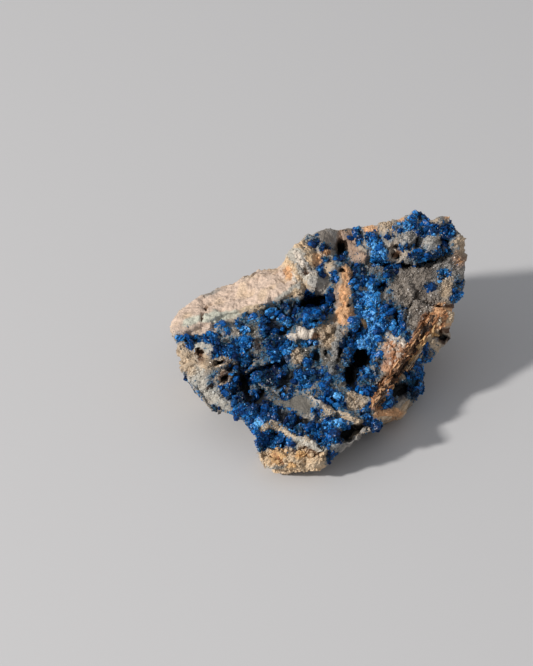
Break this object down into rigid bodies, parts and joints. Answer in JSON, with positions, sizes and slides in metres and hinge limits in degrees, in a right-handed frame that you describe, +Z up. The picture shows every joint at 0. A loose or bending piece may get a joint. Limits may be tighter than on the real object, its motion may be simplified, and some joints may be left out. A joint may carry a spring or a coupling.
{
  "type": "veszelyite crystal specimen",
  "caption": "Chunk of vuggy, iron-stained quartz rock crusted with small deep blue crystals, lying on a flat foot with its crystal face tilted to the front.",
  "frame": {"origin": "middle of the bounding box in x and y, on the floor the specimen lies on", "axes": "+X to the viewer's right along its longest side, +Y away from the viewer, +Z up"},
  "size_m": [0.06, 0.0574, 0.028],
  "materials": {
    "quartz_rock": "matt, rough, granular",
    "veszelyite": "glassy, small flat crystal faces"
  },
  "bodies": {
    "root": {"matrix_rock": "quartz_rock", "pocket_crystals": "veszelyite", "left_tip_crystals": "veszelyite", "basin_crystals": "veszelyite", "upper_basin_crystals": "veszelyite", "lower_band_crystals": "veszelyite", "pale_rib_crystals": "veszelyite", "vein_crystals": "veszelyite", "upper_vein_crystals": "veszelyite", "top_left_crystals": "veszelyite", "crown_crystals": "veszelyite", "slope_crystals": "veszelyite", "deep_vug_crystals": "veszelyite", "side_crystals": "veszelyite", "right_edge_crystals": "veszelyite"}
  },
  "joints": []
}
